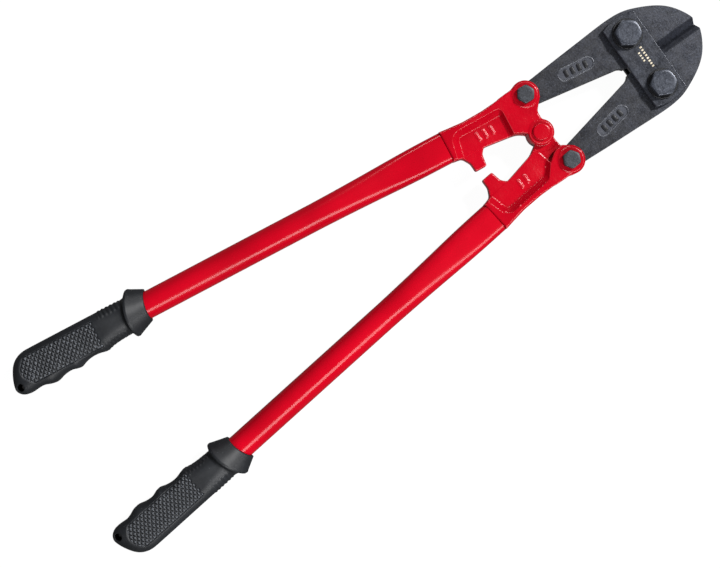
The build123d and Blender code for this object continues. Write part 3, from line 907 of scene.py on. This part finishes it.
# Painted highlight: the panel's rim gets a paler steel than the blade, standing in for the light
# line the ridge catches.
rim_highlight_steel = steel("mark_rim_steel", (0.04, 0.042, 0.05), (0.08, 0.085, 0.1), 0.32)
plate_steel = steel(
    "clamp_plate_steel", (0.02, 0.022, 0.029), (0.038, 0.042, 0.055), 0.3,
    edge=0.0005, brushed=1.5708,
)
bolt_steel = steel("bolt_steel_black", (0.028, 0.032, 0.043), (0.062, 0.069, 0.088), 0.3, 0.0005)
# Near black: black oxide, made darker still as painted shade for the washers lying in the bolt
# heads' shadow.
washer_steel = steel("washer_steel", (0.007, 0.007, 0.009), (0.014, 0.015, 0.018), 0.34, 0.0004)
tail_steel = steel("tail_bolt_steel", (0.02, 0.022, 0.027), (0.037, 0.041, 0.05), 0.42, 0.0005)
rubber_mat = rubber("grip_rubber", False)
knurl_mat = rubber("grip_knurl_rubber", True)

looks = {
    "top_clamp_plate": plate_steel, "bottom_clamp_plate": plate_steel,
    "left_blade": blade_steel, "right_blade": blade_steel,
    "left_tube": tube_red, "right_tube": tube_red, "center_rivet": casting_red,
}
for name, node in nodes.items():
    mat = looks.get(name)
    if mat is None:
        mat = washer_steel if "washer" in name else tail_steel if "tail" in name else bolt_steel
    paint_node(node, mat)

fork = casting("fork_casting_skin", fork_field, 1)
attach(fork, "left_handle")
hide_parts("fork_casting")
paint(fork, casting_red)

tongue = casting("tongue_casting_skin", tongue_field, -1)
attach(tongue, "right_handle")
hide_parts("tongue_casting")
paint(tongue, casting_red)

for side, sign in (("left", 1), ("right", -1)):
    head = bolt(
        side + "_jaw_bolt_forged", JAW_PIVOT, sign, across=19.0, turn=24.7,
        seat=13.05, tall=6.6, shank=6.0, low=-20.65, radius=0.8,
    )
    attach(head, "head")
    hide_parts(side + "_jaw_bolt")
    paint(head, bolt_steel)
    head = bolt(
        side + "_tail_bolt_forged", TAIL_PIVOT, sign, across=13.0, turn=54.7,
        seat=13.0, tall=5.3, shank=4.0, low=-19.6, radius=2.2,
    )
    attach(head, side + "_handle")
    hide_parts(side + "_tail_bolt")
    paint(head, tail_steel)

for side, kind, piece in grips():
    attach(piece, side + "_handle")
    if kind == "moulding":
        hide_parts(side + "_grip")
    paint(piece, rubber_mat if kind == "moulding" else knurl_mat)

for side, sign, _, swing in SIDES:
    piece = tube(side, sign, swing)
    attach(piece, side + "_handle")
    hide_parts(side + "_tube")
    paint(piece, tube_red)

land = edge_land()
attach(land, "left_blade")
paint(land, blade_steel)

for side, sign in (("left", 1), ("right", -1)):
    rim = mark_rim(side + "_mark_rim", sign)
    bars = mark_bars(side + "_mark_bars", sign)
    for piece, mat in ((rim, rim_highlight_steel), (bars, washer_steel)):
        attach(piece, side + "_blade")
        paint(piece, mat)

marks = plate_marks()
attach(marks, "head")
paint(marks, cream_paint())

# ------------------------------------------------------------ stage and light

floor_mesh = bpy.data.meshes.new("floor")
floor_mesh.from_pydata([(-4, -4, 0), (4, -4, 0), (4, 4, 0), (-4, 4, 0)], [], [(0, 1, 2, 3)])
floor = bpy.data.objects.new("floor", floor_mesh)
bpy.context.scene.collection.objects.link(floor)
paint(floor, table_top())
floor.visible_diffuse = False
floor.visible_glossy = False


def area_light(name, place, target, wide, tall, watts):
    """A strip light at place, in metres, facing target."""
    data = bpy.data.lights.new(name, "AREA")
    data.shape = "RECTANGLE"
    data.size = wide
    data.size_y = tall
    data.energy = watts
    lamp = bpy.data.objects.new(name, data)
    bpy.context.scene.collection.objects.link(lamp)
    lamp.location = place
    away = np.array(place) - np.array(target)
    flat = math.hypot(away[0], away[1])
    lamp.rotation_mode = "XYZ"
    turn = math.atan2(away[1], away[0]) + math.pi / 2
    lamp.rotation_euler = (math.atan2(flat, away[2]), 0.0, turn)


sun = bpy.data.lights.new("key", "SUN")
sun.energy = 3.7
sun.angle = math.radians(7.0)
key = bpy.data.objects.new("key", sun)
bpy.context.scene.collection.objects.link(key)
key.rotation_euler = (0.0, math.radians(37.5), math.radians(4.0))
area_light(
    "right_strip", place=(-0.12, -0.52, 0.5), target=(-0.12, 0.0, 0.02),
    wide=1.0, tall=0.24, watts=8.0,
)
area_light(
    "left_strip", place=(0.33, 0.5, 0.3), target=(0.2, 0.0, 0.02),
    wide=0.4, tall=0.12, watts=1.6,
)
bpy.context.scene.view_settings.view_transform = "Standard"

world = bpy.data.worlds.new("world")
bpy.context.scene.world = world
world.use_nodes = True
backdrop = world.node_tree.nodes["Background"]
backdrop.inputs["Color"].default_value = (1, 1, 1, 1)
backdrop.inputs["Strength"].default_value = 0.14

cam_data = bpy.data.cameras.new("camera")
cam_data.lens = 83.5
cam_data.sensor_width = 36.0
cam = bpy.data.objects.new("camera", cam_data)
bpy.context.scene.collection.objects.link(cam)
cam.location = (-0.029104, -0.01698, 1.32065)
cam.rotation_euler = (0.0, 0.0, math.radians(-35.3))
bpy.context.scene.camera = cam
